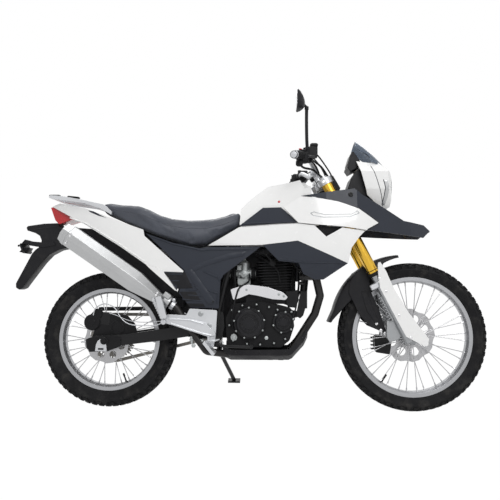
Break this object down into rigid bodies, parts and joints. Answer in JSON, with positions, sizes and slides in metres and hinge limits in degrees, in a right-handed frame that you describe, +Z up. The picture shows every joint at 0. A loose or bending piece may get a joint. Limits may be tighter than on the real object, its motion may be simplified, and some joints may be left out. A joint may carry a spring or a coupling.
{
  "type": "dual sport motorcycle",
  "caption": "Dual sport motorcycle on its side stand, with wire wheels, upside-down fork, white and dark body panels, high muffler and a rear rack.",
  "frame": {"origin": "middle of the bounding box on the floor, the motorcycle leaning 13 degrees to its left on its side stand", "axes": "+X forward along the bike, +Y to its left, +Z up from the floor"},
  "size_m": [2.2644, 0.8394, 1.4972],
  "materials": {
    "tyre_rubber": "black tyre",
    "rim_alloy": "silver-grey anodised rim",
    "hub_alloy": "grey cast hub",
    "spoke_steel": "bright steel spokes",
    "disc_steel": "brushed brake disc",
    "chain_steel": "oiled chain",
    "gold_tube": "gold anodised",
    "fork_grey": "grey cast and polished leg",
    "white_plastic": "gloss white moulded plastic",
    "silver_alloy": "silver painted alloy",
    "rubber": "black rubber",
    "black_plastic": "matte black plastic",
    "black_metal": "black painted steel",
    "engine_black": "black painted castings",
    "engine_cover": "black painted covers",
    "bright_trim": "bright plated trim",
    "carb_grey": "grey cast body",
    "pipe_dark": "dark heat-coated pipe",
    "muffler_steel": "satin stainless shell",
    "dark_plastic": "satin dark blue-grey moulded plastic",
    "lens_clear": "clear lens",
    "screen_smoke": "smoked blue-grey screen",
    "seat_cover": "dark blue-grey vinyl cover over foam",
    "lamp_red": "red lamp lens"
  },
  "bodies": {
    "front_wheel": {"front_tyre": "tyre_rubber", "front_rim": "rim_alloy", "front_hub": "hub_alloy", "front_spokes": "spoke_steel", "front_disc": "disc_steel"},
    "rear_wheel": {"rear_tyre": "tyre_rubber", "rear_rim": "rim_alloy", "rear_hub": "hub_alloy", "rear_spokes": "spoke_steel", "rear_disc": "disc_steel", "rear_sprocket": "chain_steel"},
    "steering": {"fork_outer_tubes": "gold_tube", "fork_lower_legs": "fork_grey", "fork_guards": "white_plastic", "triple_clamps": "silver_alloy", "handlebar": "silver_alloy", "grips": "rubber", "hand_controls": "black_plastic", "mirror": "black_plastic", "front_mudguard": "black_plastic", "front_caliper": "black_metal"},
    "frame": {"main_frame": "black_metal", "subframe": "black_metal", "swingarm": "black_metal", "shock_absorber": "black_metal", "engine_case": "engine_black", "engine_cylinder": "engine_black", "engine_covers": "engine_cover", "engine_trim": "bright_trim", "carburettor": "carb_grey", "drive_chain": "chain_steel", "chain_guard": "black_plastic", "exhaust_pipe": "pipe_dark", "muffler": "muffler_steel", "fuel_tank": "white_plastic", "knee_covers": "dark_plastic", "lower_bands": "white_plastic", "lower_shrouds": "dark_plastic", "upper_shrouds": "white_plastic", "beak": "dark_plastic", "headlight_mask": "white_plastic", "headlight_lens": "lens_clear", "windscreen": "screen_smoke", "dash": "black_plastic", "seat": "seat_cover", "side_panels": "dark_plastic", "tail_panels": "white_plastic", "luggage_rack": "silver_alloy", "tail_lamp": "lamp_red", "rear_mudguard": "black_plastic", "peg_hangers": "silver_alloy", "foot_pegs": "black_metal", "skid_plate": "black_plastic", "rear_caliper": "black_metal", "foot_levers": "black_metal"},
    "side_stand": {"side_stand": "black_metal"}
  },
  "joints": [
    {"name": "steering", "type": "hinge", "parent": "frame", "child": "steering", "pos_m": [0.39242, -0.02477, 0.94139], "axis": [-0.4617, 0.1995, 0.8643], "range_deg": [-38, 38]},
    {"name": "front_wheel_spin", "type": "hinge", "parent": "steering", "child": "front_wheel", "pos_m": [0.78425, -0.16331, 0.34131], "axis": [0, 0.9744, -0.225], "continuous": true},
    {"name": "rear_wheel_spin", "type": "hinge", "parent": "frame", "child": "rear_wheel", "pos_m": [-0.65075, -0.16931, 0.31529], "axis": [0, 0.9744, -0.225], "continuous": true},
    {"name": "side_stand_fold", "type": "hinge", "parent": "frame", "child": "side_stand", "pos_m": [-0.13825, -0.06429, 0.22784], "axis": [0.1525, 0.8021, 0.5773], "range_deg": [0, 102.1]}
  ]
}
